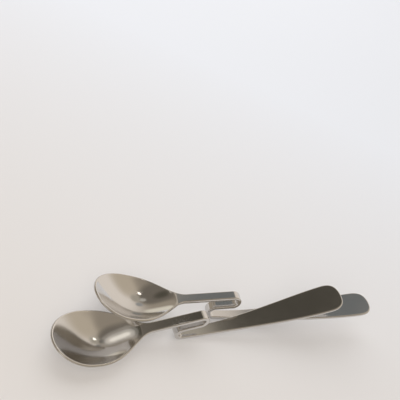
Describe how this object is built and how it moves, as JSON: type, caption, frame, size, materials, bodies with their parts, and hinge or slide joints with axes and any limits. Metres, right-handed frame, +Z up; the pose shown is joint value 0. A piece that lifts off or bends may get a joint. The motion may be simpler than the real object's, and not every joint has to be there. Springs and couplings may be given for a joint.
{
  "type": "serving spoon pair",
  "caption": "Polished steel serving spoons with an S-folded neck that hooks over a rim, lying one across the other.",
  "frame": {"origin": "centre of the pair's bounding box in plan, on the surface that the pair rests on", "axes": "+X along the lower spoon from its bowl to its paddle, +Z up, the lower spoon's side of the pair is -Y"},
  "size_m": [0.2138, 0.0592, 0.0306],
  "materials": {
    "polished_steel": "mirror-polished stainless steel with faint wiping marks"
  },
  "bodies": {
    "lower": {"spoon_lower": "polished_steel"},
    "upper": {"spoon_upper": "polished_steel"}
  },
  "joints": [
    {"name": "upper_lift_off", "type": "slide", "parent": "lower", "child": "upper", "axis": [0, 0.9848, 0.1736], "range_m": [0, 0.045]}
  ]
}
